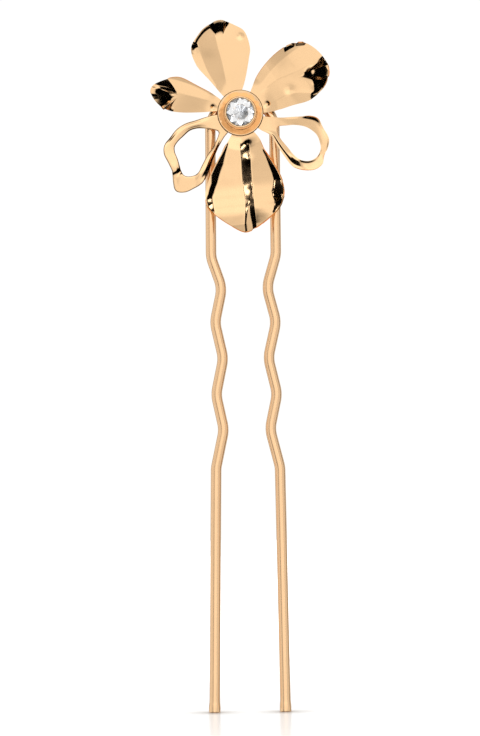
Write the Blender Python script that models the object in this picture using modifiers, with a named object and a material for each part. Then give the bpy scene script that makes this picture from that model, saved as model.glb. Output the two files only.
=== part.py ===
"""Decorative hair pin: a crimped U of wire that carries a metal flower with a set crystal.

Metres, +Z up. The pin stands upright on the tips of its two prongs, with the origin midway
between them. The flower faces -Y. Lengths below are in millimetres and are scaled by MM when
a mesh is made. Flower outlines are measured from the middle of the crystal, x to the right and
z up, and heights are measured forward from the plane of the wire, towards -Y.
"""
import math

import bmesh
import bpy
import numpy as np
from mathutils import Matrix, Vector

MM = 0.001

# Flower
FLOWER_X = -0.21
FLOWER_Z = 76.41
FOOT_RADIUS = 1.7
SHEET = 0.45
PETAL_SCALE = 1.013

# Wire
WIRE_DIAMETER = 1.35
PRONG_TIP_X = 4.53
BOW_RADIUS = 4.09
BOW_X = 0.02
BOW_Z = 74.3
BEND_RADIUS = 4.0
LEFT_BENDS = (
    (-3.92, 31.25), (-2.86, 36.1), (-3.80, 40.6), (-2.82, 45.2),
    (-3.82, 49.8), (-2.86, 54.2), (-4.20, 58.1),
)
RIGHT_BENDS = (
    (4.24, 31.25), (3.03, 36.1), (4.00, 40.6), (2.93, 45.2),
    (4.00, 49.8), (2.86, 54.2), (4.07, 58.3),
)

# Hub stack, as heights forward of the wire's plane
GAP = 0.1
PEG_RADIUS = 0.5
PEG_HOLE = 0.6
PLATE_RADIUS = 2.6
PLATE = 0.5
BACK_PLATE_FRONT = -WIRE_DIAMETER / 2 - GAP
BACK_PLATE_REAR = BACK_PLATE_FRONT - PLATE
HUB_REAR = WIRE_DIAMETER / 2 + GAP
HUB_FRONT = HUB_REAR + PLATE
FOOT_BACK = HUB_FRONT + GAP
FOOT_FRONT = FOOT_BACK + SHEET
BOSS_RADIUS = 1.5
DISH_BACK = FOOT_FRONT + GAP
DISH_SHEET = 0.3
DISH_RADIUS = 2.95
DISH_DEPTH = 0.12
CUP_BACK = DISH_BACK + DISH_SHEET + GAP
CUP_RADIUS = 2.0
CUP_FLOOR = CUP_BACK + 0.15
CUP_LIP = CUP_FLOOR + 2.23
CULET = CUP_FLOOR + 0.3
GIRDLE = CULET + 1.60
GIRDLE_RADIUS = 1.84
TABLE = GIRDLE + 0.50

ROSE_GOLD = (0.90, 0.66, 0.43)
SILVER = (0.80, 0.81, 0.83)
GLASS = (0.96, 0.97, 1.0)

COLLECTION = "decorative_hair_pin"
WELD = 1e-7
SHARP_EDGE = 40
SPLINE_STEPS = 12


def clear_scene():
    for obj in list(bpy.data.objects):
        bpy.data.objects.remove(obj, do_unlink=True)


def material(name, colour, metallic, roughness):
    mat = bpy.data.materials.new(name)
    mat.use_nodes = True
    shader = mat.node_tree.nodes["Principled BSDF"]
    shader.inputs["Base Color"].default_value = (*colour, 1.0)
    shader.inputs["Metallic"].default_value = metallic
    shader.inputs["Roughness"].default_value = roughness
    mat.diffuse_color = (*colour, 1.0)
    return mat


def add_object(name, data, colour=ROSE_GOLD, metallic=1.0, roughness=0.1):
    obj = bpy.data.objects.new(name, data)
    bpy.data.collections[COLLECTION].objects.link(obj)
    data.materials.append(material(name, colour, metallic, roughness))
    return obj


# ---------------------------------------------------------------- curves and ramps

def spline(points, closed=False):
    """A centripetal Catmull-Rom curve through the points, as an array of closely spaced ones."""
    pts = np.asarray(points, dtype=float)
    if closed:
        ring = np.vstack([pts[-1:], pts, pts[:2]])
    else:
        ring = np.vstack([2 * pts[0] - pts[1], pts, 2 * pts[-1] - pts[-2]])
    gaps = np.sqrt(np.linalg.norm(np.diff(ring[:, :2], axis=0), axis=1))
    curve = []
    for i in range(1, len(ring) - 2):
        p0, p1, p2, p3 = ring[i - 1:i + 3]
        d0, d1, d2 = gaps[i - 1:i + 2]
        m1 = (p1 - p0) / d0 - (p2 - p0) / (d0 + d1) + (p2 - p1) / d1
        m2 = (p2 - p1) / d1 - (p3 - p1) / (d1 + d2) + (p3 - p2) / d2
        for u in np.arange(SPLINE_STEPS) / SPLINE_STEPS:
            a = 2 * u ** 3 - 3 * u ** 2 + 1
            b = u ** 3 - 2 * u ** 2 + u
            c = u ** 3 - u ** 2
            curve.append(a * p1 + b * d1 * m1 + (1 - a) * p2 + c * d1 * m2)
    curve.append(ring[-2] if not closed else ring[1])
    return np.array(curve)


def lengths(curve):
    return np.concatenate([[0.0], np.cumsum(np.linalg.norm(np.diff(curve[:, :2], axis=0), axis=1))])


def along(curve, shares):
    """The points at shares, 0 to 1, of the curve's length."""
    run = lengths(curve)
    return np.stack([np.interp(shares * run[-1], run, column) for column in curve.T], axis=-1)


def ramp(value, start, end):
    """0 before start, 1 after end, and smooth between."""
    u = np.clip((value - start) / (end - start), 0.0, 1.0)
    return u * u * (3 - 2 * u)


def slope(value, rounding=0.18):
    """0 before 0, 1 after 1, straight between, with rounded corners."""
    shifts = np.linspace(-rounding, rounding, 7)
    return sum(np.clip(value + shift, 0.0, 1.0) for shift in shifts) / len(shifts)


def polar(radius, degrees):
    angle = math.radians(degrees)
    return (radius * math.cos(angle), radius * math.sin(angle))


def flower_points(x, z, forward, scale=1.0):
    """Flower coordinates to the part's, in metres."""
    return np.stack([FLOWER_X + scale * x, -forward, FLOWER_Z + scale * z], axis=-1) * MM


# ---------------------------------------------------------------- sheets

def ring_faces(loop_a, loop_b):
    count = len(loop_a)
    return [(loop_a[i], loop_a[(i + 1) % count], loop_b[(i + 1) % count], loop_b[i])
            for i in range(count)]


def sheet_object(name, places, faces):
    """A sheet with the given front face, thickened to the back."""
    mesh = bpy.data.meshes.new(name)
    mesh.from_pydata([tuple(place) for place in places], [], faces)
    bm = bmesh.new()
    bm.from_mesh(mesh)
    bmesh.ops.remove_doubles(bm, verts=bm.verts, dist=WELD)
    bm.normal_update()
    if sum(face.normal.y * face.calc_area() for face in bm.faces) > 0:
        bmesh.ops.reverse_faces(bm, faces=bm.faces)
    bm.to_mesh(mesh)
    bm.free()
    mesh.shade_smooth()
    mesh.set_sharp_from_angle(angle=math.radians(SHARP_EDGE))
    obj = add_object(name, mesh)
    solidify = obj.modifiers.new("Sheet", "SOLIDIFY")
    solidify.thickness = SHEET * MM
    solidify.offset = -1.0


# ---------------------------------------------------------------- solid petals
# A petal's outline runs from its foot up the side at the larger angle, round the tip and back
# down the other side. Its front is shaped by these, all as heights forward:
#   rise    (place along the axis, height), the run of the axis;
#   tilt    (place along the axis, slope), the slope across the petal at its right side, seen
#           with the tip up;
#   creases lines along the petal, each a list of (x, z, change of slope across the line);
#   wall    the upturned rim, at shares of the outline's length: (share, lip, width, height);
#   bumps   (x, z, radius, height).

PETALS = {
    "petal_upper_left": {
        "axis": 101,
        "side_a": ((-2.35, 2.1), (-3.9, 3.95), (-5.7, 6.1), (-6.3, 8.3)),
        "tip": ((-5.2, 10.2), (-4.2, 11.1), (-2.4, 11.85), (-0.3, 11.15), (0.8, 10.4)),
        "side_b": ((0.3, 2.3), (0.85, 4.0), (1.4, 6.8), (1.55, 8.2)),
        "foot": (135, 86),
        "rise": ((0.0, 0.0), (3.0, 0.0), (6.0, 0.3), (9.0, 0.45), (12.0, 0.5)),
        "tilt": ((3.0, 0.0), (6.0, 0.0), (12.0, 0.0)),
        "creases": (
            ((-1.6, 3.5, -0.15), (-2.2, 6.3, -0.22), (-3.1, 10.2, -0.2), (-3.3, 11.5, -0.1)),
            ((-3.0, 3.5, 0.15), (-4.1, 5.5, 0.22), (-5.1, 8.5, 0.2), (-5.4, 10.0, 0.2)),
        ),
        "wall": ((0.0, 0.1, 0.4, 0.0), (0.30, 0.1, 0.4, 0.0), (0.333, 0.1, 0.4, 0.2),
                 (0.352, 0.1, 0.8, 0.36), (0.365, 0.15, 0.4, 0.16), (0.40, 0.05, 0.4, 0.21),
                 (0.475, 0.05, 0.4, 0.21), (0.49, 0.05, 1.1, 0.5), (0.50, 0.1, 1.4, 0.65),
                 (0.553, 0.1, 1.45, 0.65), (0.565, 0.1, 0.8, 0.2), (0.58, 0.1, 0.4, 0.0),
                 (1.0, 0.1, 0.4, 0.0)),
        "bumps": ((-4.0, 8.6, 1.5, 0.14), (0.1, 9.7, 0.4, -0.1)),
    },
    "petal_upper_right": {
        "axis": 35,
        "side_a": ((1.15, 2.9), (2.1, 4.9), (3.9, 7.1), (6.1, 8.6)),
        "tip": ((7.3, 8.85), (8.7, 8.7), (10.6, 7.1), (11.35, 5.2), (10.7, 3.0)),
        "side_b": ((3.1, -0.2), (5.0, 0.15), (6.5, 0.6), (9.0, 1.35)),
        "foot": (65, -1),
        "rise": ((0.0, 0.0), (3.0, 0.0), (6.0, 0.25), (9.0, 0.5), (12.0, 0.8)),
        "tilt": ((3.0, 0.0), (6.0, 0.0), (12.0, 0.0)),
        "creases": (
            ((4.0, 1.2, -0.1), (6.2, 2.3, -0.12), (7.0, 2.35, -0.12), (9.4, 2.3, -0.1)),
            ((4.6, 4.1, 0.16), (7.5, 5.3, 0.18), (10.4, 6.6, 0.16)),
            ((2.6, 3.6, 0.14), (4.3, 5.6, 0.15), (6.0, 7.1, 0.14), (7.5, 8.1, 0.1)),
        ),
        "wall": ((0.0, 0.1, 0.4, 0.0), (0.295, 0.15, 0.4, 0.0), (0.308, 0.15, 0.35, 0.16),
                 (0.34, 0.1, 0.35, 0.16), (0.352, 0.1, 0.3, 0.0), (0.365, 0.0, 0.3, 0.15),
                 (0.392, 0.0, 0.3, 0.15), (0.402, 0.0, 0.3, 0.0), (0.50, 0.1, 0.4, 0.02),
                 (0.517, 0.1, 0.9, 0.48), (0.527, 0.1, 1.6, 0.85), (0.55, 0.05, 2.7, 1.35),
                 (0.605, 0.05, 2.9, 1.4), (0.625, 0.05, 1.7, 0.9), (0.66, 0.05, 0.95, 0.52),
                 (0.695, 0.15, 0.5, 0.28), (0.715, 0.35, 0.3, 0.15), (0.735, 0.1, 0.4, 0.0),
                 (1.0, 0.1, 0.4, 0.0)),
        "bumps": ((3.35, 1.1, 0.35, -0.13), (6.3, 2.75, 0.5, -0.08), (8.8, 5.0, 0.5, 0.2),
                  (9.6, 3.3, 0.4, 0.12)),
    },
    "petal_left": {
        "axis": 166,
        "side_a": ((-3.2, 0.05), (-4.5, -0.05), (-7.5, -0.05), (-9.0, 0.2)),
        "tip": ((-10.2, 0.8), (-11.4, 2.5), (-11.3, 3.4), (-10.8, 3.9), (-9.6, 4.45)),
        "side_b": ((-2.7, 2.2), (-5.2, 3.6), (-7.4, 4.7), (-8.5, 4.75)),
        "foot": (178.5, 143.5),
        "rise": ((0.0, 0.0), (3.0, 0.0), (6.0, 0.25), (9.0, 0.45), (12.0, 0.7)),
        "tilt": ((3.0, -0.2), (6.0, -0.25), (12.0, -0.25)),
        "creases": (
            ((-3.3, 2.1, 0.15), (-5.5, 3.3, 0.2), (-8.2, 4.25, 0.2), (-10.0, 4.5, 0.2)),
            ((-3.3, 1.5, -0.1), (-6.0, 2.2, -0.16), (-8.1, 2.75, -0.1), (-11.0, 3.3, 0.1)),
        ),
        "wall": ((0.0, 0.1, 0.4, 0.0), (0.30, 0.1, 0.3, 0.0), (0.325, 0.25, 0.3, 0.1),
                 (0.345, 0.35, 1.3, 0.45), (0.36, 0.35, 1.4, 0.5), (0.37, 0.4, 0.7, 0.3),
                 (0.386, 0.45, 1.0, 0.45), (0.43, 0.8, 1.3, 0.6), (0.45, 0.75, 1.5, 0.7),
                 (0.469, 0.5, 1.9, 0.85), (0.504, 0.6, 1.95, 0.9), (0.517, 0.85, 1.65, 0.8),
                 (0.533, 0.45, 1.9, 0.8), (0.55, 0.8, 1.4, 0.6), (0.57, 1.2, 0.9, 0.38),
                 (0.596, 1.5, 0.5, 0.15), (0.615, 1.0, 0.5, 0.0), (1.0, 0.1, 0.4, 0.0)),
        "bumps": ((-3.35, 0.75, 0.35, -0.13),),
    },
    "petal_bottom": {
        "axis": 275,
        "side_a": ((2.4, -2.9), (3.1, -4.5), (4.9, -7.6), (5.5, -9.7)),
        "tip": ((5.3, -11.0), (4.7, -12.2), (2.6, -14.1), (0.5, -15.15),
                (-1.8, -14.1), (-4.1, -12.3), (-4.65, -11.2)),
        "side_b": ((-1.5, -2.9), (-2.9, -5.4), (-4.1, -7.8), (-4.75, -10.0)),
        "foot": (307, 245),
        "rise": ((0.0, 0.0), (3.0, 0.0), (6.0, 0.0), (8.0, 0.01), (9.3, 0.06), (10.7, 0.25),
                 (11.9, 0.44), (12.6, 0.64), (13.4, 0.91), (14.4, 1.25), (15.2, 1.52)),
        "tilt": ((3.0, 0.07), (6.0, 0.07), (11.0, 0.07), (15.0, 0.06)),
        "creases": (
            ((-0.15, -3.6, -0.7), (0.0, -6.0, -0.7), (0.1, -8.0, -0.7), (0.3, -10.0, -0.7),
             (0.45, -11.0, -0.7), (0.35, -14.0, -0.6)),
            ((1.0, -3.6, 0.5), (1.0, -8.0, 0.5), (1.0, -10.2, 0.5), (1.0, -11.0, 0.5),
             (0.7, -12.6, 0.5), (0.55, -14.0, 0.5)),
            ((1.0, -3.6, -0.5), (1.0, -8.0, -0.5), (1.0, -10.2, -0.5), (1.0, -11.0, -0.5),
             (1.1, -12.6, -0.5), (1.35, -14.0, -0.5)),
            ((1.05, -3.6, 0.85), (1.22, -6.0, 0.85), (1.35, -8.0, 0.85), (1.5, -10.0, 0.85),
             (1.58, -11.0, 0.85), (1.65, -12.0, 0.78), (1.8, -14.0, 0.58)),
        ),
        "wall": ((0.0, 0.0, 0.2, 0.0), (0.095, 0.0, 0.2, 0.0), (0.135, 0.0, 0.25, 0.14),
                 (0.18, 0.0, 0.52, 0.29), (0.22, 0.0, 0.72, 0.4), (0.24, 0.0, 0.8, 0.44),
                 (0.274, 0.1, 1.1, 0.62), (0.295, 0.1, 1.3, 0.72), (0.316, 0.02, 1.15, 0.63),
                 (0.33, 0.0, 0.85, 0.45), (0.366, 0.0, 0.3, 0.1), (0.38, 0.0, 0.3, 0.0),
                 (0.64, 0.0, 0.3, 0.0), (0.65, 0.0, 0.4, 0.2), (0.675, 0.0, 0.8, 0.44),
                 (0.702, 0.05, 0.9, 0.5), (0.72, 0.3, 0.85, 0.47), (0.76, 0.4, 0.8, 0.44),
                 (0.8, 0.0, 1.1, 0.6), (0.844, 0.0, 0.92, 0.5), (0.89, 0.05, 0.47, 0.26),
                 (0.93, 0.0, 0.25, 0.13), (0.95, 0.0, 0.2, 0.0), (1.0, 0.0, 0.2, 0.0)),
        "bumps": ((1.0, -5.8, 0.6, 0.1), (1.1, -9.7, 0.55, 0.05), (0.7, -3.8, 0.35, -0.08)),
    },
}

SIDE_COLUMNS = 19
TIP_COLUMNS = 19
FOOT_COLUMNS = 5
PETAL_RINGS = 8
FLAT_RADIUS = 3.0
SPINE_START = 0.12
SPINE_END = 0.85
CREASE = 0.1


def bent(distance, rounding):
    """0 before a crease and the distance past it, rounded over at the crease."""
    near = np.clip(distance + rounding, 0.0, 2 * rounding)
    return near ** 2 / (4 * rounding) + np.maximum(distance - rounding, 0.0)


def read(knots, places):
    """The smooth curve through (place, value) knots, at places."""
    curve = spline(knots)
    return np.interp(places, curve[:, 0], curve[:, 1])


def petal_boundary(spec):
    """The outline, from the foot's right end back to it, and where each point's ring line ends
    on the petal's spine."""
    angle_a, angle_b = spec["foot"]
    side_a = [polar(FOOT_RADIUS, angle_a), *spec["side_a"]]
    side_b = [polar(FOOT_RADIUS, angle_b), *spec["side_b"]]
    outline = spline([*side_a, *spec["tip"], *reversed(side_b)])
    end_a = (len(side_a) - 1) * SPLINE_STEPS
    end_b = len(outline) - 1 - (len(side_b) - 1) * SPLINE_STEPS
    share = np.linspace(0, 1, SIDE_COLUMNS)
    a = along(outline[:end_a + 1], share)
    b = along(outline[end_b:][::-1], share)
    tip = along(outline[end_a:end_b + 1], np.linspace(0, 1, TIP_COLUMNS))[1:-1]
    turn = [angle % 360 for angle in (angle_b, angle_a)]
    if abs(turn[1] - turn[0]) > 180:
        turn[turn.index(max(turn))] -= 360
    feet = np.array([polar(FOOT_RADIUS, angle) for angle in np.linspace(*turn, FOOT_COLUMNS)])
    middle = SPINE_START + (SPINE_END - SPINE_START) * share
    spine = (along(a, middle) + along(b, middle)) / 2
    boundary = np.concatenate([feet[1:-1], a, tip, b[::-1]])
    targets = np.concatenate([np.repeat(spine[:1], FOOT_COLUMNS - 2, axis=0), spine,
                              np.repeat(spine[-1:], TIP_COLUMNS - 2, axis=0), spine[::-1]])
    return boundary, targets


def petal_heights(spec, x, z, distance, share):
    """Heights forward of the foot for points of the front face."""
    angle = math.radians(spec["axis"])
    a_axis = np.array((math.cos(angle), math.sin(angle)))
    c_axis = np.array((-a_axis[1], a_axis[0]))

    def folded(a, c):
        height = read(spec["tilt"], a) * c
        for crease in spec["creases"]:
            line = np.array([(px * a_axis[0] + pz * a_axis[1], px * c_axis[0] + pz * c_axis[1], k)
                             for px, pz, k in crease])
            height = height + (read(line[:, (0, 2)], a)
                               * bent(c - read(line[:, (0, 1)], a), CREASE))
        return height

    a = x * a_axis[0] + z * a_axis[1]
    c = x * c_axis[0] + z * c_axis[1]
    shares, *columns = np.array(spec["wall"]).T
    lip, width, height = [np.interp(share, shares, column) for column in columns]
    wall = height * (1 - slope((distance - lip) / width))
    bumps = sum(tall * np.exp(-((x - bump_x) ** 2 + (z - bump_z) ** 2) / size ** 2)
                for bump_x, bump_z, size, tall in spec["bumps"])
    opened = ramp(np.hypot(x, z), FLAT_RADIUS, FLAT_RADIUS + 1.8)
    return (read(spec["rise"], a) * (a > 0) + bumps
            + opened * (folded(a, c) - folded(a, 0 * c) + wall))


def petal(name, spec):
    """A petal meshed in rings that run inward from its outline to its spine."""
    boundary, targets = petal_boundary(spec)
    columns = len(boundary)
    run = np.roll(boundary, -1, axis=0) - np.roll(boundary, 1, axis=0)
    run /= np.linalg.norm(run, axis=1, keepdims=True)
    ray = targets - boundary
    depth = np.abs(ray[:, 0] * run[:, 1] - ray[:, 1] * run[:, 0])
    crowding = 1.5
    steps = np.linspace(0, 1, PETAL_RINGS) ** crowding
    places = boundary[None] + steps[:, None, None] * ray[None]
    distance = np.maximum(steps[:, None] * depth[None] - SHEET / 2, 0.0)
    edge = lengths(boundary)
    start = edge[FOOT_COLUMNS - 2]
    share = np.clip((edge - start) / (edge[-1] - start), 0, 1)
    share = np.broadcast_to(share[None], distance.shape)
    x, z = places[..., 0], places[..., 1]
    forward = FOOT_FRONT + petal_heights(spec, x, z, distance, share)
    index = np.arange(PETAL_RINGS * columns).reshape(PETAL_RINGS, columns)
    faces = []
    for outer, inner in zip(index, index[1:]):
        faces.extend(ring_faces(outer, inner))
    sheet_object(name, flower_points(x, z, forward, PETAL_SCALE).reshape(-1, 3), faces)


# ---------------------------------------------------------------- open petals
# An open petal is a ribbon bent into a loop. Each station is a point on its outer edge, the
# point across from it on the edge of the hole, and five heights from the first to the second.

FLAT = (0.0, 0.0, 0.0, 0.0, 0.0)

OPEN_PETALS = {
    "open_petal_right": {
        "rise": 1.0,
        "stations": (
            ((1.49, -0.68), (4.75, -2.20), FLAT), ((1.68, -0.27), (4.78, -1.95), FLAT),
            ((3.30, -0.38), (4.95, -1.85), FLAT), ((5.00, -0.45), (5.80, -1.80), FLAT),
            ((7.00, -0.35), (7.00, -1.85), (0.03, 0.06, 0.03, -0.01, -0.06)),
            ((8.80, -0.40), (8.00, -2.05), (0.21, 0.03, 0.02, 0.00, -0.01)),
            ((9.80, -0.75), (8.80, -2.50), (0.18, 0.03, 0.03, 0.02, 0.00)),
            ((10.60, -2.00), (9.40, -3.10), (-0.06, 0.00, 0.01, 0.01, 0.00)),
            ((11.30, -3.40), (9.70, -3.90), (-0.09, 0.00, 0.02, 0.02, 0.00)),
            ((11.10, -4.70), (9.80, -4.60), (-0.06, 0.00, 0.00, 0.00, 0.00)),
            ((10.65, -5.50), (9.60, -5.20), (0.00, -0.03, -0.03, -0.03, -0.09)),
            ((10.40, -6.70), (9.10, -5.75), (0.09, 0.07, 0.03, 0.00, -0.09)),
            ((9.40, -7.40), (8.40, -5.98), (0.12, 0.09, 0.05, 0.00, -0.12)),
            ((7.90, -7.45), (7.60, -5.85), (0.12, 0.06, 0.00, -0.06, -0.18)),
            ((6.40, -7.00), (6.90, -5.35), (0.21, 0.21, 0.03, -0.12, -0.12)),
            ((5.40, -5.80), (6.10, -4.40), (0.09, 0.09, -0.06, -0.03, 0.00)),
            ((4.40, -4.30), (5.30, -3.40), (0.06, 0.06, -0.09, -0.06, -0.03)),
            ((3.50, -2.85), (4.85, -2.70), (0.00, 0.03, -0.06, -0.03, 0.00)),
            ((2.10, -1.95), (4.76, -2.40), FLAT), ((1.30, -1.09), (4.75, -2.25), FLAT),
        ),
    },
    "open_petal_left": {
        "rise": 0.9,
        "stations": (
            ((-1.45, -0.85), (-2.72, -2.45), FLAT), ((-1.69, -0.18), (-2.85, -2.25), FLAT),
            ((-3.00, -0.15), (-3.40, -2.05), FLAT),
            ((-4.30, -0.42), (-4.30, -1.93), (-0.05, 0.00, 0.00, -0.05, -0.12)),
            ((-5.60, -0.80), (-5.40, -1.90), (-0.05, 0.00, 0.01, -0.03, -0.08)),
            ((-6.90, -1.20), (-6.30, -2.15), (-0.05, 0.00, 0.01, -0.02, -0.06)),
            ((-8.00, -1.90), (-7.10, -2.80), (-0.05, 0.00, 0.01, -0.01, -0.04)),
            ((-8.90, -2.95), (-7.85, -3.50), (-0.10, 0.00, 0.00, -0.01, -0.03)),
            ((-9.60, -4.00), (-8.25, -4.10), (0.00, 0.00, 0.00, -0.01, -0.03)),
            ((-9.65, -5.00), (-8.25, -4.80), (0.03, 0.01, 0.00, -0.01, -0.03)),
            ((-9.10, -6.20), (-7.95, -5.60), (0.03, 0.01, 0.00, -0.01, -0.03)),
            ((-8.62, -7.40), (-7.60, -6.80), (-0.03, 0.00, 0.00, -0.04, -0.08)),
            ((-8.60, -7.80), (-7.48, -7.20), (-0.21, -0.18, -0.18, -0.21, -0.24)),
            ((-8.50, -8.80), (-7.35, -7.55), (-0.22, -0.21, -0.18, -0.15, -0.13)),
            ((-8.20, -9.75), (-7.05, -7.80), (-0.22, -0.21, -0.18, -0.15, -0.13)),
            ((-7.20, -9.90), (-6.50, -7.90), (-0.22, -0.21, -0.18, -0.15, -0.13)),
            ((-6.00, -9.40), (-5.80, -7.75), (-0.22, -0.21, -0.18, -0.15, -0.13)),
            ((-4.90, -8.70), (-5.20, -7.25), (-0.06, -0.06, 0.00, 0.06, 0.06)),
            ((-4.15, -7.60), (-4.75, -6.30), (-0.15, -0.07, 0.06, 0.06, 0.03)),
            ((-3.50, -6.00), (-4.20, -5.20), (-0.15, -0.07, 0.06, 0.06, 0.03)),
            ((-2.70, -4.20), (-3.40, -4.00), (-0.09, -0.05, 0.03, 0.03, 0.00)),
            ((-2.00, -2.80), (-2.85, -3.00), FLAT), ((-1.05, -1.34), (-2.70, -2.65), FLAT),
        ),
    },
}

REACH = 12.0
RIBBON_ROWS = 60
RIBBON_COLUMNS = 5


def open_petal(name, spec):
    """An open petal meshed in rows round its loop."""
    outer, inner, heights = zip(*spec["stations"])
    outer = spline([(*place, *five) for place, five in zip(outer, heights)], closed=True)
    inner = spline(inner, closed=True)
    index = np.linspace(0, len(outer) - 1, RIBBON_ROWS, endpoint=False)
    steps = np.arange(len(outer))
    outer = np.stack([np.interp(index, steps, column) for column in outer.T], axis=-1)
    inner = np.stack([np.interp(index, steps, column) for column in inner.T], axis=-1)
    outer, section = outer[:, :2], outer[:, 2:]
    v = np.linspace(0, 1, RIBBON_COLUMNS)[None, :, None]
    places = (1 - v) * outer[:, None] + v * inner[:, None]
    x, z = places[..., 0], places[..., 1]
    radius = np.hypot(x, z)
    opened = ramp(radius, FLAT_RADIUS, FLAT_RADIUS + 2.5)
    forward = FOOT_FRONT + spec["rise"] * ramp(radius, FLAT_RADIUS, REACH) + opened * section
    rows = np.arange(RIBBON_ROWS * RIBBON_COLUMNS).reshape(RIBBON_ROWS, RIBBON_COLUMNS)
    faces = []
    for left, right in zip(rows.T, rows.T[1:]):
        faces.extend(ring_faces(left, right))
    sheet_object(name, flower_points(x, z, forward, PETAL_SCALE).reshape(-1, 3), faces)


# ---------------------------------------------------------------- turned pieces

def turned(name, profile, steps=32, **look):
    """A turned piece on the flower's axis; the profile is (radius, height), front first."""
    mesh = bpy.data.meshes.new(name)
    verts = [(r * MM, 0.0, h * MM) for r, h in profile]
    closed = profile[0][0] > 0
    count = len(verts)
    edges = [(i, (i + 1) % count) for i in range(count if closed else count - 1)]
    mesh.from_pydata(verts, edges, [])
    obj = add_object(name, mesh, **look)
    obj.location = Vector((FLOWER_X, 0.0, FLOWER_Z)) * MM
    obj.rotation_euler = (math.radians(90), 0.0, 0.0)
    screw = obj.modifiers.new("Turn", "SCREW")
    screw.axis = "Z"
    screw.steps = steps
    screw.render_steps = steps
    screw.use_merge_vertices = True
    screw.merge_threshold = 0.00001
    screw.use_smooth_shade = True


def arc(centre, radius, start, end, count):
    """Points on an arc of a profile, angles in degrees from the outward direction."""
    angles = np.linspace(math.radians(start), math.radians(end), count)
    return [(centre[0] + radius * math.cos(a), centre[1] + radius * math.sin(a)) for a in angles]


def back_plate():
    chamfer = 0.12
    turned("back_plate", [
        (PEG_HOLE, BACK_PLATE_FRONT),
        (PLATE_RADIUS - chamfer, BACK_PLATE_FRONT),
        (PLATE_RADIUS, BACK_PLATE_FRONT - chamfer),
        (PLATE_RADIUS, BACK_PLATE_REAR + chamfer),
        (PLATE_RADIUS - chamfer, BACK_PLATE_REAR),
        (PEG_HOLE, BACK_PLATE_REAR),
    ])


def hub_disc():
    turned("hub_disc", [
        (PEG_HOLE, FOOT_FRONT),
        (BOSS_RADIUS, FOOT_FRONT),
        (BOSS_RADIUS, HUB_FRONT),
        (PLATE_RADIUS, HUB_FRONT),
        (PLATE_RADIUS, HUB_REAR),
        (PEG_HOLE, HUB_REAR),
    ])


def centre_dish():
    floor = 2.05
    edge = DISH_SHEET / 2
    lip = DISH_RADIUS - edge
    turned("centre_dish", [
        (PEG_HOLE, DISH_BACK + DISH_SHEET),
        (floor, DISH_BACK + DISH_SHEET),
        (lip - edge, DISH_BACK + DISH_SHEET + DISH_DEPTH * (lip - edge - floor) / (lip - floor)),
        *arc((lip, DISH_BACK + DISH_DEPTH + edge), edge, 90, -90, 5),
        (floor, DISH_BACK),
        (PEG_HOLE, DISH_BACK),
    ])


def bezel_cup():
    bore = GIRDLE_RADIUS + 0.06
    lip = 0.06
    turned("bezel_cup", [
        (0.0, CUP_FLOOR),
        (bore, CUP_FLOOR),
        (bore, GIRDLE + 0.09),
        (bore - 0.17, GIRDLE + 0.2),
        *arc((bore - 0.05, CUP_LIP - lip), lip, 170, 90, 3),
        *arc((CUP_RADIUS - lip, CUP_LIP - lip), lip, 85, 0, 3),
        (CUP_RADIUS, CUP_LIP - 0.25),
        (CUP_RADIUS + 0.12, CUP_BACK + 0.1),
        (CUP_RADIUS + 0.12, CUP_BACK),
        (PEG_RADIUS, CUP_BACK),
        (PEG_RADIUS, BACK_PLATE_REAR + 0.05),
        (0.0, BACK_PLATE_REAR + 0.05),
    ])


def crystal_foil():
    film = 0.07
    rim = GIRDLE_RADIUS - 0.08
    apex = CULET - 0.16
    front = ((0.0, apex), (rim, apex + rim * (GIRDLE - CULET) / GIRDLE_RADIUS))
    back = [(radius, height - film) for radius, height in reversed(front)]
    turned("crystal_foil", [*front, *back], steps=16, colour=SILVER, roughness=0.15)


def crystal():
    """A round brilliant: the hull of its table, star, girdle and pavilion rings."""
    rings = (
        (8, 0.5, 1.08, TABLE),
        (8, 0.0, 1.46, GIRDLE + 0.31),
        (16, 0.0, GIRDLE_RADIUS, GIRDLE + 0.06),
        (16, 0.0, GIRDLE_RADIUS, GIRDLE),
        (4, 0.25, 1.03, CULET + 0.79),
        (4, 0.75, 1.03, CULET + 0.845),
    )
    bm = bmesh.new()
    for count, shift, radius, height in rings:
        for i in range(count):
            x, z = polar(radius, 360 * (i + shift) / count)
            bm.verts.new(flower_points(x, z, height))
    bm.verts.new(flower_points(0.0, 0.0, CULET))
    bmesh.ops.convex_hull(bm, input=bm.verts)
    askew = Matrix.Rotation(math.radians(3.0), 3, Vector((1.0, 0.0, 0.6)))
    bmesh.ops.rotate(bm, verts=bm.verts, cent=flower_points(0.0, 0.0, GIRDLE), matrix=askew)
    mesh = bpy.data.meshes.new("crystal")
    bm.to_mesh(mesh)
    bm.free()
    add_object("crystal", mesh, colour=GLASS, metallic=0.0, roughness=0.0)


# ---------------------------------------------------------------- wire

def rounded(corner, before, after, radius, count=5):
    """The points of the bend that a wire makes at a corner of its route."""
    to_before = (before - corner).normalized()
    to_after = (after - corner).normalized()
    half = to_before.angle(to_after) / 2
    tangent = radius / math.tan(half)
    centre = corner + (to_before + to_after).normalized() * (radius / math.sin(half))
    start = corner + to_before * tangent - centre
    turn = math.pi - 2 * half
    sign = 1.0 if to_before.cross(to_after).y > 0 else -1.0
    return [centre + Matrix.Rotation(sign * -turn * i / (count - 1), 3, "Y") @ start
            for i in range(count)]


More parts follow.
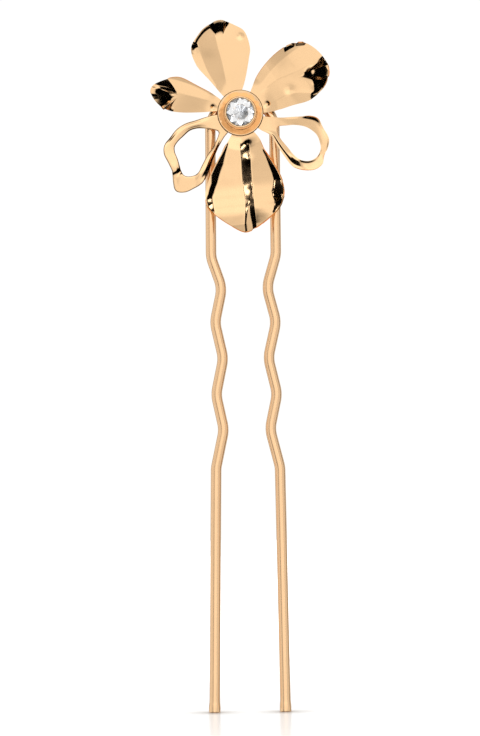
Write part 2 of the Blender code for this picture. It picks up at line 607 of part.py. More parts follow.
def wire_route():
    """The wire's centreline from the left tip, up over the bow and down to the right tip."""
    bow = [Vector((BOW_X + BOW_RADIUS * math.cos(a), 0.0, BOW_Z + BOW_RADIUS * math.sin(a)))
           for a in np.linspace(math.pi, 0, 25)]
    left = [Vector((x, 0.0, z)) for x, z in ((-PRONG_TIP_X, 0.0), *LEFT_BENDS)]
    right = [Vector((x, 0.0, z)) for x, z in ((PRONG_TIP_X, 0.0), *RIGHT_BENDS)]
    corners = [*left, *bow, *reversed(right)]
    route = [corners[0]]
    for before, corner, after in zip(corners, corners[1:], corners[2:]):
        if corner in bow:
            route.append(corner)
        else:
            route.extend(rounded(corner, before, after, BEND_RADIUS))
    route.append(corners[-1])
    return route


def tip_radius(height):
    """The wire's radius near its tip, as a share: rounded off, then slightly swollen."""
    dome = 0.1
    swell = 1.0 + 0.1 * (1 - ramp(height, 0.6, 1.6))
    if height < dome:
        return swell * (0.85 + 0.15 * height / dome)
    return swell


def pin_wire():
    curve = bpy.data.curves.new("pin_wire", "CURVE")
    curve.dimensions = "3D"
    curve.bevel_depth = WIRE_DIAMETER / 2 * MM
    curve.bevel_resolution = 2
    curve.use_fill_caps = True
    route = wire_route()
    swell_heights = (0.1, 0.6, 1.1, 1.6)
    first = [route[0].lerp(route[1], z / route[1].z) for z in swell_heights]
    last = [route[-1].lerp(route[-2], z / route[-2].z) for z in reversed(swell_heights)]
    route = [route[0], *first, *route[1:-1], *last, route[-1]]
    points = curve.splines.new("POLY").points
    points.add(len(route) - 1)
    for point, place in zip(points, route):
        point.co = (*(place * MM), 1.0)
        point.radius = tip_radius(place.z)
    add_object("pin_wire", curve)


def main():
    clear_scene()
    parts = bpy.data.collections.new(COLLECTION)
    bpy.context.scene.collection.children.link(parts)
    pin_wire()
    back_plate()
    hub_disc()
    for name, spec in PETALS.items():
        petal(name, spec)
    for name, spec in OPEN_PETALS.items():
        open_petal(name, spec)
    centre_dish()
    bezel_cup()
    crystal_foil()
    crystal()


main()
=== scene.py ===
"""Decorative hair pin, finished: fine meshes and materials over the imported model, in a studio.

Everything is in metres in the frame's axes. Flower outlines below are in millimetres from the
middle of the crystal, x to the right and z up, and heights are forward of the wire's plane.
"""
import math

import bmesh
import bpy
import numpy as np
from mathutils import Matrix, Vector


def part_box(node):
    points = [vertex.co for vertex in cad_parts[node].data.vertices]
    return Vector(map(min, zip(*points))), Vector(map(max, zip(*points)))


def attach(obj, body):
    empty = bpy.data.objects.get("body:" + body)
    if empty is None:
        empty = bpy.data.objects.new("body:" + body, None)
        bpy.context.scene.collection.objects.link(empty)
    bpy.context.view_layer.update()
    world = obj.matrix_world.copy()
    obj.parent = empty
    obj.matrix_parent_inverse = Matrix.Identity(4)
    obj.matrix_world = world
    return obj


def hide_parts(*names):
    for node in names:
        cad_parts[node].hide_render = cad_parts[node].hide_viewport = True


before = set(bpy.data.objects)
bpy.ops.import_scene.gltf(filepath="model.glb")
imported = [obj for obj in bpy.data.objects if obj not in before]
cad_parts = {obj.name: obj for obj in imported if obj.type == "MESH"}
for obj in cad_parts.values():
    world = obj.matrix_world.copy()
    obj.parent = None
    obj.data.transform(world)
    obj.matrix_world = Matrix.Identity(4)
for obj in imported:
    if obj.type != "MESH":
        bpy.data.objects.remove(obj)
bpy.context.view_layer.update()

MM = 0.001

# Flower
crystal_low, crystal_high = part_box("crystal")
FLOWER_X = (crystal_low[0] + crystal_high[0]) / 2 / MM
FLOWER_Z = (crystal_low[2] + crystal_high[2]) / 2 / MM
FOOT_RADIUS = 1.7
SHEET = 0.45
PETAL_SCALE = 1.013

# Wire, as the model has it
WIRE_DIAMETER = 1.35
PRONG_TIP_X = 4.53
BOW_RADIUS = 4.09
BOW_X = 0.02
BOW_Z = 74.3
BEND_RADIUS = 4.0
LEFT_BENDS = (
    (-3.92, 31.25), (-2.86, 36.1), (-3.80, 40.6), (-2.82, 45.2),
    (-3.82, 49.8), (-2.86, 54.2), (-4.20, 58.1),
)
RIGHT_BENDS = (
    (4.24, 31.25), (3.03, 36.1), (4.00, 40.6), (2.93, 45.2),
    (4.00, 49.8), (2.86, 54.2), (4.07, 58.3),
)

# Hub stack, as heights forward of the wire's plane
GAP = 0.1
PEG_RADIUS = 0.5
PEG_HOLE = 0.6
PLATE_RADIUS = 2.6
PLATE = 0.5
BACK_PLATE_FRONT = -WIRE_DIAMETER / 2 - GAP
BACK_PLATE_REAR = BACK_PLATE_FRONT - PLATE
HUB_REAR = WIRE_DIAMETER / 2 + GAP
HUB_FRONT = HUB_REAR + PLATE
FOOT_BACK = HUB_FRONT + GAP
FOOT_FRONT = FOOT_BACK + SHEET
BOSS_RADIUS = 1.5
DISH_BACK = FOOT_FRONT + GAP
DISH_SHEET = 0.3
DISH_RADIUS = 2.95
DISH_DEPTH = 0.12
CUP_BACK = DISH_BACK + DISH_SHEET + GAP
CUP_RADIUS = 2.0
CUP_FLOOR = CUP_BACK + 0.15
CUP_LIP = CUP_FLOOR + 2.23
CULET = CUP_FLOOR + 0.3
GIRDLE = CULET + 1.60
GIRDLE_RADIUS = 1.84
TABLE = GIRDLE + 0.50

# Camera: the pin's plane is seen square on, from a long lens
FRAME_HEIGHT = 93.99
FRAME_CENTRE = (-0.70, 43.95)
CAMERA_DISTANCE = 600.0
CAMERA_ROLL = 0.79


# ---------------------------------------------------------------- curves and ramps

SPLINE_STEPS = 24
SLOPE_ROUNDING = 0.18


def spline(points, closed=False):
    """A centripetal Catmull-Rom curve through the points, as an array of closely spaced ones."""
    pts = np.asarray(points, dtype=float)
    if closed:
        ring = np.vstack([pts[-1:], pts, pts[:2]])
    else:
        ring = np.vstack([2 * pts[0] - pts[1], pts, 2 * pts[-1] - pts[-2]])
    gaps = np.sqrt(np.linalg.norm(np.diff(ring[:, :2], axis=0), axis=1))
    curve = []
    for i in range(1, len(ring) - 2):
        p0, p1, p2, p3 = ring[i - 1:i + 3]
        d0, d1, d2 = gaps[i - 1:i + 2]
        m1 = (p1 - p0) / d0 - (p2 - p0) / (d0 + d1) + (p2 - p1) / d1
        m2 = (p2 - p1) / d1 - (p3 - p1) / (d1 + d2) + (p3 - p2) / d2
        for u in np.arange(SPLINE_STEPS) / SPLINE_STEPS:
            a = 2 * u ** 3 - 3 * u ** 2 + 1
            b = u ** 3 - 2 * u ** 2 + u
            c = u ** 3 - u ** 2
            curve.append(a * p1 + b * d1 * m1 + (1 - a) * p2 + c * d1 * m2)
    curve.append(ring[-2] if not closed else ring[1])
    return np.array(curve)


def lengths(curve):
    """How far along the curve each of its points is."""
    return np.concatenate([[0.0], np.cumsum(np.linalg.norm(np.diff(curve[:, :2], axis=0), axis=1))])


def along(curve, shares):
    """The points at shares, 0 to 1, of the curve's length."""
    run = lengths(curve)
    return np.stack([np.interp(shares * run[-1], run, column) for column in curve.T], axis=-1)


def ramp(value, start, end):
    """0 before start, 1 after end, and smooth between."""
    u = np.clip((value - start) / (end - start), 0.0, 1.0)
    return u * u * (3 - 2 * u)


def slope(value):
    """0 before 0, 1 after 1, straight between, with rounded corners."""
    shifts = np.linspace(-SLOPE_ROUNDING, SLOPE_ROUNDING, 7)
    return sum(np.clip(value + shift, 0.0, 1.0) for shift in shifts) / len(shifts)


def polar(radius, degrees):
    angle = math.radians(degrees)
    return (radius * math.cos(angle), radius * math.sin(angle))


def flower_points(x, z, forward, scale=1.0):
    """Flower coordinates to the frame, in metres."""
    return np.stack([FLOWER_X + scale * x, -forward, FLOWER_Z + scale * z], axis=-1) * MM


# ---------------------------------------------------------------- pieces

def finish_piece(obj, node, mat):
    """Every piece rides on the one body, stands for its CAD node and takes its finish."""
    obj.data.materials.append(mat)
    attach(obj, "root")
    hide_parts(node)


def new_object(name, data):
    obj = bpy.data.objects.new(name, data)
    bpy.context.scene.collection.objects.link(obj)
    return obj


def mesh_object(name, verts, faces):
    """A smooth-shaded mesh of vertices in metres."""
    mesh = bpy.data.meshes.new(name)
    mesh.from_pydata([tuple(v) for v in verts], [], faces)
    mesh.validate()
    mesh.shade_smooth()
    return new_object(name, mesh)


def ring_faces(loop_a, loop_b):
    """Faces that join two loops with the same number of points."""
    count = len(loop_a)
    return [(loop_a[i], loop_a[(i + 1) % count], loop_b[(i + 1) % count], loop_b[i])
            for i in range(count)]


RIM_STEPS = 10
RIM_SQUARENESS = 0.5
WELD = 0.0005


def weld(places, faces):
    """Joins points that coincide, and drops the faces that this closes up."""
    rounded_places = np.round(places / (WELD * MM)).astype(np.int64)
    _, first, joined = np.unique(rounded_places, axis=0, return_index=True, return_inverse=True)
    joined = joined.reshape(-1)
    kept = []
    for face in faces:
        corners = [int(joined[v]) for v in face]
        corners = [c for k, c in enumerate(corners) if c != corners[k - 1]]
        if len(set(corners)) == len(corners) > 2:
            kept.append(corners)
    return places[first], kept, joined


def vertex_normals(places, faces):
    """Each point's unit normal, from the faces of 3 and 4 corners round it."""
    normals = np.zeros_like(places)
    for size in (3, 4):
        group = np.array([face for face in faces if len(face) == size])
        if len(group):
            diagonal = places[group[:, 2]] - places[group[:, 0]]
            other = places[group[:, -1]] - places[group[:, 1]]
            across = np.cross(diagonal, other)
            for corner in group.T:
                np.add.at(normals, corner, across)
    return normals / np.linalg.norm(normals, axis=1, keepdims=True)


def thick_sheet(name, places, faces, edges):
    """A sheet of even thickness behind its front face, with rounded edges.

    Each edge is a loop of front points with the sheet on its left, seen from the front.
    """
    places, faces, joined = weld(places, faces)
    normals = vertex_normals(places, faces)
    if normals[:, 1].mean() > 0:
        faces = [face[::-1] for face in faces]
        normals = -normals
    thickness = SHEET * MM
    count = len(places)
    verts = [places, places - thickness * normals]
    solid = [*faces, *[[v + count for v in reversed(face)] for face in faces]]
    total = 2 * count
    for edge in edges:
        loop = [int(joined[v]) for v in edge]
        loop = [v for k, v in enumerate(loop) if v != loop[k - 1]]
        ups = normals[loop]
        forward = np.roll(places[loop], -1, axis=0) - np.roll(places[loop], 1, axis=0)
        outward = np.cross(forward, ups)
        outward /= np.linalg.norm(outward, axis=1, keepdims=True)
        previous = loop
        for step in range(1, RIM_STEPS):
            angle = math.pi * step / RIM_STEPS
            up = math.copysign(abs(math.cos(angle)) ** RIM_SQUARENESS, math.cos(angle))
            out = math.sin(angle) ** RIM_SQUARENESS
            verts.append(places[loop] + thickness / 2 * ((up - 1) * ups + out * outward))
            current = list(range(total, total + len(loop)))
            total += len(loop)
            solid.extend(ring_faces(current, previous))
            previous = current
        solid.extend(ring_faces([v + count for v in loop], previous))
    return mesh_object(name, np.concatenate(verts), solid)


# ---------------------------------------------------------------- solid petals
# A petal's outline runs from its foot up the side at the larger angle, round the tip and back
# down the other side. Its front is shaped by these, all as heights forward:
#   rise    (place along the axis, height), the run of the axis;
#   tilt    (place along the axis, slope), the slope across the petal at its right side, seen
#           with the tip up;
#   creases lines along the petal, each a list of (x, z, change of slope across the line);
#   wall    the upturned rim, at shares of the outline's length: (share, lip, width, height);
#   bumps   (x, z, radius, height).

PETALS = {
    "petal_upper_left": {
        "axis": 101,
        "side_a": ((-2.35, 2.1), (-3.9, 3.95), (-5.7, 6.1), (-6.3, 8.3)),
        "tip": ((-5.2, 10.2), (-4.2, 11.1), (-2.4, 11.85), (-0.3, 11.15), (0.8, 10.4)),
        "side_b": ((0.3, 2.3), (0.85, 4.0), (1.4, 6.8), (1.55, 8.2)),
        "foot": (135, 86),
        "rise": ((0.0, 0.0), (3.0, 0.0), (6.0, 0.3), (9.0, 0.45), (12.0, 0.5)),
        "tilt": ((3.0, 0.0), (6.0, 0.0), (12.0, 0.0)),
        "creases": (
            ((-1.6, 3.5, -0.15), (-2.2, 6.3, -0.22), (-3.1, 10.2, -0.2), (-3.3, 11.5, -0.1)),
            ((-3.0, 3.5, 0.15), (-4.1, 5.5, 0.22), (-5.1, 8.5, 0.2), (-5.4, 10.0, 0.2)),
        ),
        "wall": ((0.0, 0.1, 0.4, 0.0), (0.30, 0.1, 0.4, 0.0), (0.333, 0.1, 0.4, 0.2),
                 (0.352, 0.1, 0.8, 0.36), (0.365, 0.15, 0.4, 0.16), (0.40, 0.05, 0.4, 0.21),
                 (0.475, 0.05, 0.4, 0.21), (0.49, 0.05, 1.1, 0.5), (0.50, 0.1, 1.4, 0.65),
                 (0.553, 0.1, 1.45, 0.65), (0.565, 0.1, 0.8, 0.2), (0.58, 0.1, 0.4, 0.0),
                 (1.0, 0.1, 0.4, 0.0)),
        "bumps": ((-4.0, 8.6, 1.5, 0.14), (0.1, 9.7, 0.4, -0.1)),
    },
    "petal_upper_right": {
        "axis": 35,
        "side_a": ((1.15, 2.9), (2.1, 4.9), (3.9, 7.1), (6.1, 8.6)),
        "tip": ((7.3, 8.85), (8.7, 8.7), (10.6, 7.1), (11.35, 5.2), (10.7, 3.0)),
        "side_b": ((3.1, -0.2), (5.0, 0.15), (6.5, 0.6), (9.0, 1.35)),
        "foot": (65, -1),
        "rise": ((0.0, 0.0), (3.0, 0.0), (6.0, 0.25), (9.0, 0.5), (12.0, 0.8)),
        "tilt": ((3.0, 0.0), (6.0, 0.0), (12.0, 0.0)),
        "creases": (
            ((4.0, 1.2, -0.1), (6.2, 2.3, -0.12), (7.0, 2.35, -0.12), (9.4, 2.3, -0.1)),
            ((4.6, 4.1, 0.16), (7.5, 5.3, 0.18), (10.4, 6.6, 0.16)),
            ((2.6, 3.6, 0.14), (4.3, 5.6, 0.15), (6.0, 7.1, 0.14), (7.5, 8.1, 0.1)),
        ),
        "wall": ((0.0, 0.1, 0.4, 0.0), (0.295, 0.15, 0.4, 0.0), (0.308, 0.15, 0.35, 0.16),
                 (0.34, 0.1, 0.35, 0.16), (0.352, 0.1, 0.3, 0.0), (0.365, 0.0, 0.3, 0.15),
                 (0.392, 0.0, 0.3, 0.15), (0.402, 0.0, 0.3, 0.0), (0.50, 0.1, 0.4, 0.02),
                 (0.517, 0.1, 0.9, 0.48), (0.527, 0.1, 1.6, 0.85), (0.55, 0.05, 2.7, 1.35),
                 (0.605, 0.05, 2.9, 1.4), (0.625, 0.05, 1.7, 0.9), (0.66, 0.05, 0.95, 0.52),
                 (0.695, 0.15, 0.5, 0.28), (0.715, 0.35, 0.3, 0.15), (0.735, 0.1, 0.4, 0.0),
                 (1.0, 0.1, 0.4, 0.0)),
        "bumps": ((3.35, 1.1, 0.35, -0.13), (6.3, 2.75, 0.5, -0.08), (8.8, 5.0, 0.5, 0.2),
                  (9.6, 3.3, 0.4, 0.12)),
    },
    "petal_left": {
        "axis": 166,
        "side_a": ((-3.2, 0.05), (-4.5, -0.05), (-7.5, -0.05), (-9.0, 0.2)),
        "tip": ((-10.2, 0.8), (-11.4, 2.5), (-11.3, 3.4), (-10.8, 3.9), (-9.6, 4.45)),
        "side_b": ((-2.7, 2.2), (-5.2, 3.6), (-7.4, 4.7), (-8.5, 4.75)),
        "foot": (178.5, 143.5),
        "rise": ((0.0, 0.0), (3.0, 0.0), (6.0, 0.25), (9.0, 0.45), (12.0, 0.7)),
        "tilt": ((3.0, -0.2), (6.0, -0.25), (12.0, -0.25)),
        "creases": (
            ((-3.3, 2.1, 0.15), (-5.5, 3.3, 0.2), (-8.2, 4.25, 0.2), (-10.0, 4.5, 0.2)),
            ((-3.3, 1.5, -0.1), (-6.0, 2.2, -0.16), (-8.1, 2.75, -0.1), (-11.0, 3.3, 0.1)),
        ),
        "wall": ((0.0, 0.1, 0.4, 0.0), (0.30, 0.1, 0.3, 0.0), (0.325, 0.25, 0.3, 0.1),
                 (0.345, 0.35, 1.3, 0.45), (0.36, 0.35, 1.4, 0.5), (0.37, 0.4, 0.7, 0.3),
                 (0.386, 0.45, 1.0, 0.45), (0.43, 0.8, 1.3, 0.6), (0.45, 0.75, 1.5, 0.7),
                 (0.469, 0.5, 1.9, 0.85), (0.504, 0.6, 1.95, 0.9), (0.517, 0.85, 1.65, 0.8),
                 (0.533, 0.45, 1.9, 0.8), (0.55, 0.8, 1.4, 0.6), (0.57, 1.2, 0.9, 0.38),
                 (0.596, 1.5, 0.5, 0.15), (0.615, 1.0, 0.5, 0.0), (1.0, 0.1, 0.4, 0.0)),
        "bumps": ((-3.35, 0.75, 0.35, -0.13),),
    },
    "petal_bottom": {
        "axis": 275,
        "side_a": ((2.4, -2.9), (3.1, -4.5), (4.9, -7.6), (5.5, -9.7)),
        "tip": ((5.3, -11.0), (4.7, -12.2), (2.6, -14.1), (0.5, -15.15),
                (-1.8, -14.1), (-4.1, -12.3), (-4.65, -11.2)),
        "side_b": ((-1.5, -2.9), (-2.9, -5.4), (-4.1, -7.8), (-4.75, -10.0)),
        "foot": (307, 245),
        "rise": ((0.0, 0.0), (3.0, 0.0), (6.0, 0.0), (8.0, 0.01), (9.3, 0.06), (10.7, 0.25),
                 (11.9, 0.44), (12.6, 0.64), (13.4, 0.91), (14.4, 1.25), (15.2, 1.52)),
        "tilt": ((3.0, 0.07), (6.0, 0.07), (11.0, 0.07), (15.0, 0.06)),
        "creases": (
            ((-0.15, -3.6, -0.7), (0.0, -6.0, -0.7), (0.1, -8.0, -0.7), (0.3, -10.0, -0.7),
             (0.45, -11.0, -0.7), (0.35, -14.0, -0.6)),
            ((1.0, -3.6, 0.5), (1.0, -8.0, 0.5), (1.0, -10.2, 0.5), (1.0, -11.0, 0.5),
             (0.7, -12.6, 0.5), (0.55, -14.0, 0.5)),
            ((1.0, -3.6, -0.5), (1.0, -8.0, -0.5), (1.0, -10.2, -0.5), (1.0, -11.0, -0.5),
             (1.1, -12.6, -0.5), (1.35, -14.0, -0.5)),
            ((1.05, -3.6, 0.85), (1.22, -6.0, 0.85), (1.35, -8.0, 0.85), (1.5, -10.0, 0.85),
             (1.58, -11.0, 0.85), (1.65, -12.0, 0.78), (1.8, -14.0, 0.58)),
        ),
        "wall": ((0.0, 0.0, 0.2, 0.0), (0.095, 0.0, 0.2, 0.0), (0.135, 0.0, 0.25, 0.14),
                 (0.18, 0.0, 0.52, 0.29), (0.22, 0.0, 0.72, 0.4), (0.24, 0.0, 0.8, 0.44),
                 (0.274, 0.1, 1.1, 0.62), (0.295, 0.1, 1.3, 0.72), (0.316, 0.02, 1.15, 0.63),
                 (0.33, 0.0, 0.85, 0.45), (0.366, 0.0, 0.3, 0.1), (0.38, 0.0, 0.3, 0.0),
                 (0.64, 0.0, 0.3, 0.0), (0.65, 0.0, 0.4, 0.2), (0.675, 0.0, 0.8, 0.44),
                 (0.702, 0.05, 0.9, 0.5), (0.72, 0.3, 0.85, 0.47), (0.76, 0.4, 0.8, 0.44),
                 (0.8, 0.0, 1.1, 0.6), (0.844, 0.0, 0.92, 0.5), (0.89, 0.05, 0.47, 0.26),
                 (0.93, 0.0, 0.25, 0.13), (0.95, 0.0, 0.2, 0.0), (1.0, 0.0, 0.2, 0.0)),
        "bumps": ((1.0, -5.8, 0.6, 0.1), (1.1, -9.7, 0.55, 0.05), (0.7, -3.8, 0.35, -0.08)),
    },
}

SIDE_COLUMNS = 170
TIP_COLUMNS = 190
FOOT_COLUMNS = 24
PETAL_RINGS = 70
RING_CROWDING = 1.5
FLAT_RADIUS = 3.0
PETAL_OPENING = 1.8
SPINE_START = 0.12
SPINE_END = 0.85
CREASE = 0.1


def inward(curve, amount):
    """The curve moved sideways, to its left along its run, by an amount."""
    run = np.gradient(curve, axis=0)
    run /= np.linalg.norm(run, axis=1, keepdims=True)
    return curve + amount * np.stack([-run[:, 1], run[:, 0]], axis=1)


def bent(distance, rounding):
    """0 before a crease and the distance past it, rounded over at the crease."""
    near = np.clip(distance + rounding, 0.0, 2 * rounding)
    return near ** 2 / (4 * rounding) + np.maximum(distance - rounding, 0.0)


def read(knots, places):
    """The smooth curve through (place, value) knots, at places."""
    curve = spline(knots)
    return np.interp(places, curve[:, 0], curve[:, 1])


def petal_boundary(spec):
    """The front face's edge, from the foot's right end back to it, and where each point's ring
    line ends on the petal's spine."""
    angle_a, angle_b = spec["foot"]
    side_a = [polar(FOOT_RADIUS, angle_a), *spec["side_a"]]
    side_b = [polar(FOOT_RADIUS, angle_b), *spec["side_b"]]
    outline = spline([*side_a, *spec["tip"], *reversed(side_b)])
    outline = inward(outline, -SHEET / 2)
    end_a = (len(side_a) - 1) * SPLINE_STEPS
    end_b = len(outline) - 1 - (len(side_b) - 1) * SPLINE_STEPS
    foot_radius = FOOT_RADIUS + SHEET / 2
    off_foot = np.hypot(*outline.T) > foot_radius
    first = int(np.argmax(off_foot))
    last = len(outline) - int(np.argmax(off_foot[::-1]))
    share = np.linspace(0, 1, SIDE_COLUMNS)
    a = along(outline[first:end_a + 1], share)
    b = along(outline[end_b:last][::-1], share)
    tip = along(outline[end_a:end_b + 1], np.linspace(0, 1, TIP_COLUMNS))[1:-1]
    turn = [math.degrees(math.atan2(z, x)) % 360 for x, z in (b[0], a[0])]
    if abs(turn[1] - turn[0]) > 180:
        turn[0] -= 360
    feet = np.array([polar(foot_radius, angle) for angle in np.linspace(*turn, FOOT_COLUMNS)])
    middle = SPINE_START + (SPINE_END - SPINE_START) * share
    spine = (along(a, middle) + along(b, middle)) / 2
    boundary = np.concatenate([feet[1:-1], a, tip, b[::-1]])
    targets = np.concatenate([np.repeat(spine[:1], FOOT_COLUMNS - 2, axis=0), spine,
                              np.repeat(spine[-1:], TIP_COLUMNS - 2, axis=0), spine[::-1]])
    return boundary, targets


def petal_heights(spec, x, z, distance, share):
    """Heights forward of the foot for points of the front face."""
    angle = math.radians(spec["axis"])
    a_axis = np.array((math.cos(angle), math.sin(angle)))
    c_axis = np.array((-a_axis[1], a_axis[0]))

    def folded(a, c):
        height = read(spec["tilt"], a) * c
        for crease in spec["creases"]:
            line = np.array([(px * a_axis[0] + pz * a_axis[1], px * c_axis[0] + pz * c_axis[1], k)
                             for px, pz, k in crease])
            height = height + (read(line[:, (0, 2)], a)
                               * bent(c - read(line[:, (0, 1)], a), CREASE))
        return height

    a = x * a_axis[0] + z * a_axis[1]
    c = x * c_axis[0] + z * c_axis[1]
    shares, *columns = np.array(spec["wall"]).T
    lip, width, height = [np.interp(share, shares, column) for column in columns]
    wall = height * (1 - slope((distance - lip) / width))
    bumps = sum(tall * np.exp(-((x - bump_x) ** 2 + (z - bump_z) ** 2) / size ** 2)
                for bump_x, bump_z, size, tall in spec["bumps"])
    opened = ramp(np.hypot(x, z), FLAT_RADIUS, FLAT_RADIUS + PETAL_OPENING)
    return (read(spec["rise"], a) * (a > 0) + bumps
            + opened * (folded(a, c) - folded(a, 0 * c) + wall))


def petal(name, spec):
    """A petal meshed in rings from its edge to its spine, crowded near the edge."""
    boundary, targets = petal_boundary(spec)
    columns = len(boundary)
    run = np.roll(boundary, -1, axis=0) - np.roll(boundary, 1, axis=0)
    run /= np.linalg.norm(run, axis=1, keepdims=True)
    ray = targets - boundary
    depth = np.abs(ray[:, 0] * run[:, 1] - ray[:, 1] * run[:, 0])
    steps = np.linspace(0, 1, PETAL_RINGS) ** RING_CROWDING
    places = boundary[None] + steps[:, None, None] * ray[None]
    distance = steps[:, None] * depth[None]
    edge = lengths(boundary)
    share = np.clip((edge - edge[FOOT_COLUMNS - 2]) / (edge[-1] - edge[FOOT_COLUMNS - 2]), 0, 1)
    share = np.broadcast_to(share[None], distance.shape)
    x, z = places[..., 0], places[..., 1]
    forward = FOOT_FRONT + petal_heights(spec, x, z, distance, share)
    index = np.arange(PETAL_RINGS * columns).reshape(PETAL_RINGS, columns)
    faces = []
    for outer, inner in zip(index, index[1:]):
        faces.extend(ring_faces(outer, inner))
    places = flower_points(x, z, forward, PETAL_SCALE).reshape(-1, 3)
    return thick_sheet(name, places, faces, [index[0]])


# ---------------------------------------------------------------- open petals
# An open petal is a ribbon bent into a loop. Each station is a point on its outer edge, the
# point across from it on the edge of the hole, and five heights from the first to the second.

FLAT = (0.0, 0.0, 0.0, 0.0, 0.0)

OPEN_PETALS = {
    "open_petal_right": {
        "rise": 1.0,
        "stations": (
            ((1.49, -0.68), (4.75, -2.20), FLAT), ((1.68, -0.27), (4.78, -1.95), FLAT),
            ((3.30, -0.38), (4.95, -1.85), FLAT), ((5.00, -0.45), (5.80, -1.80), FLAT),
            ((7.00, -0.35), (7.00, -1.85), (0.03, 0.06, 0.03, -0.01, -0.06)),
            ((8.80, -0.40), (8.00, -2.05), (0.21, 0.03, 0.02, 0.00, -0.01)),
            ((9.80, -0.75), (8.80, -2.50), (0.18, 0.03, 0.03, 0.02, 0.00)),
            ((10.60, -2.00), (9.40, -3.10), (-0.06, 0.00, 0.01, 0.01, 0.00)),
            ((11.30, -3.40), (9.70, -3.90), (-0.09, 0.00, 0.02, 0.02, 0.00)),
            ((11.10, -4.70), (9.80, -4.60), (-0.06, 0.00, 0.00, 0.00, 0.00)),
            ((10.65, -5.50), (9.60, -5.20), (0.00, -0.03, -0.03, -0.03, -0.09)),
            ((10.40, -6.70), (9.10, -5.75), (0.09, 0.07, 0.03, 0.00, -0.09)),
            ((9.40, -7.40), (8.40, -5.98), (0.12, 0.09, 0.05, 0.00, -0.12)),
            ((7.90, -7.45), (7.60, -5.85), (0.12, 0.06, 0.00, -0.06, -0.18)),
            ((6.40, -7.00), (6.90, -5.35), (0.21, 0.21, 0.03, -0.12, -0.12)),
            ((5.40, -5.80), (6.10, -4.40), (0.09, 0.09, -0.06, -0.03, 0.00)),
            ((4.40, -4.30), (5.30, -3.40), (0.06, 0.06, -0.09, -0.06, -0.03)),
            ((3.50, -2.85), (4.85, -2.70), (0.00, 0.03, -0.06, -0.03, 0.00)),
            ((2.10, -1.95), (4.76, -2.40), FLAT), ((1.30, -1.09), (4.75, -2.25), FLAT),
        ),
    },
    "open_petal_left": {
        "rise": 0.9,
        "stations": (
            ((-1.45, -0.85), (-2.72, -2.45), FLAT), ((-1.69, -0.18), (-2.85, -2.25), FLAT),
            ((-3.00, -0.15), (-3.40, -2.05), FLAT),
            ((-4.30, -0.42), (-4.30, -1.93), (-0.05, 0.00, 0.00, -0.05, -0.12)),
            ((-5.60, -0.80), (-5.40, -1.90), (-0.05, 0.00, 0.01, -0.03, -0.08)),
            ((-6.90, -1.20), (-6.30, -2.15), (-0.05, 0.00, 0.01, -0.02, -0.06)),
            ((-8.00, -1.90), (-7.10, -2.80), (-0.05, 0.00, 0.01, -0.01, -0.04)),
            ((-8.90, -2.95), (-7.85, -3.50), (-0.10, 0.00, 0.00, -0.01, -0.03)),
            ((-9.60, -4.00), (-8.25, -4.10), (0.00, 0.00, 0.00, -0.01, -0.03)),
            ((-9.65, -5.00), (-8.25, -4.80), (0.03, 0.01, 0.00, -0.01, -0.03)),
            ((-9.10, -6.20), (-7.95, -5.60), (0.03, 0.01, 0.00, -0.01, -0.03)),
            ((-8.62, -7.40), (-7.60, -6.80), (-0.03, 0.00, 0.00, -0.04, -0.08)),
            ((-8.60, -7.80), (-7.48, -7.20), (-0.21, -0.18, -0.18, -0.21, -0.24)),
            ((-8.50, -8.80), (-7.35, -7.55), (-0.22, -0.21, -0.18, -0.15, -0.13)),
            ((-8.20, -9.75), (-7.05, -7.80), (-0.22, -0.21, -0.18, -0.15, -0.13)),
            ((-7.20, -9.90), (-6.50, -7.90), (-0.22, -0.21, -0.18, -0.15, -0.13)),
            ((-6.00, -9.40), (-5.80, -7.75), (-0.22, -0.21, -0.18, -0.15, -0.13)),
            ((-4.90, -8.70), (-5.20, -7.25), (-0.06, -0.06, 0.00, 0.06, 0.06)),
            ((-4.15, -7.60), (-4.75, -6.30), (-0.15, -0.07, 0.06, 0.06, 0.03)),
            ((-3.50, -6.00), (-4.20, -5.20), (-0.15, -0.07, 0.06, 0.06, 0.03)),
            ((-2.70, -4.20), (-3.40, -4.00), (-0.09, -0.05, 0.03, 0.03, 0.00)),
            ((-2.00, -2.80), (-2.85, -3.00), FLAT), ((-1.05, -1.34), (-2.70, -2.65), FLAT),
        ),
    },
}

REACH = 12.0
RIBBON_OPENING = 2.5
RIBBON_ROWS = 420
RIBBON_COLUMNS = 33
SECTION_ROUNDING = 0.06


